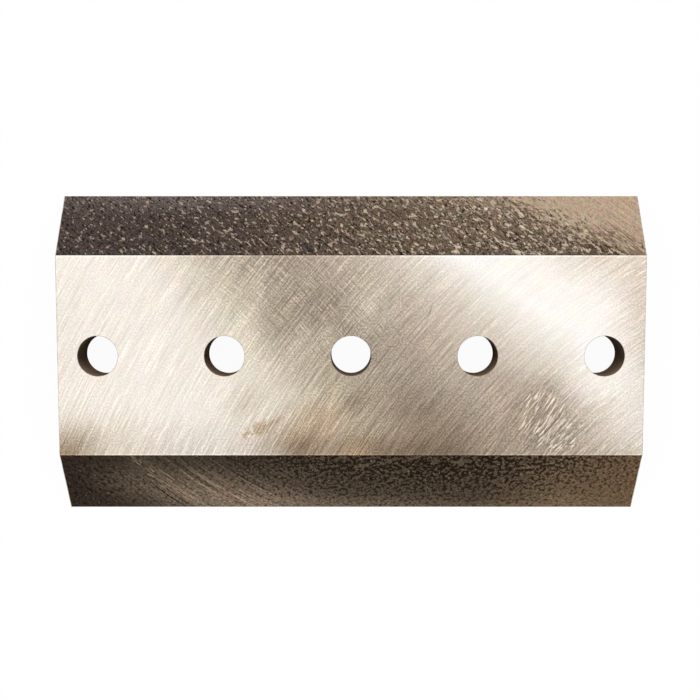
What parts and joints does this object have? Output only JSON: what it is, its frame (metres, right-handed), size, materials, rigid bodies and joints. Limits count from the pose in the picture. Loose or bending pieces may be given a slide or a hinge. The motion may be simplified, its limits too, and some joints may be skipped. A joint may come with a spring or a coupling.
{
  "type": "wood chipper knife",
  "caption": "Flat rectangular steel chipper knife with a bevelled cutting edge along each long side and a row of plain bolt holes along its middle.",
  "frame": {"origin": "middle of the back face, on which the knife lies", "axes": "+X along the length, +Y across from one cutting edge to the other, +Z from the back face to the front face"},
  "size_m": [0.254, 0.1396, 0.0159],
  "materials": {
    "knife_steel": "rotary-ground faces with fine slanting scratches, dark scaled bevels"
  },
  "bodies": {
    "root": {"chipper_knife": "knife_steel"}
  },
  "joints": []
}
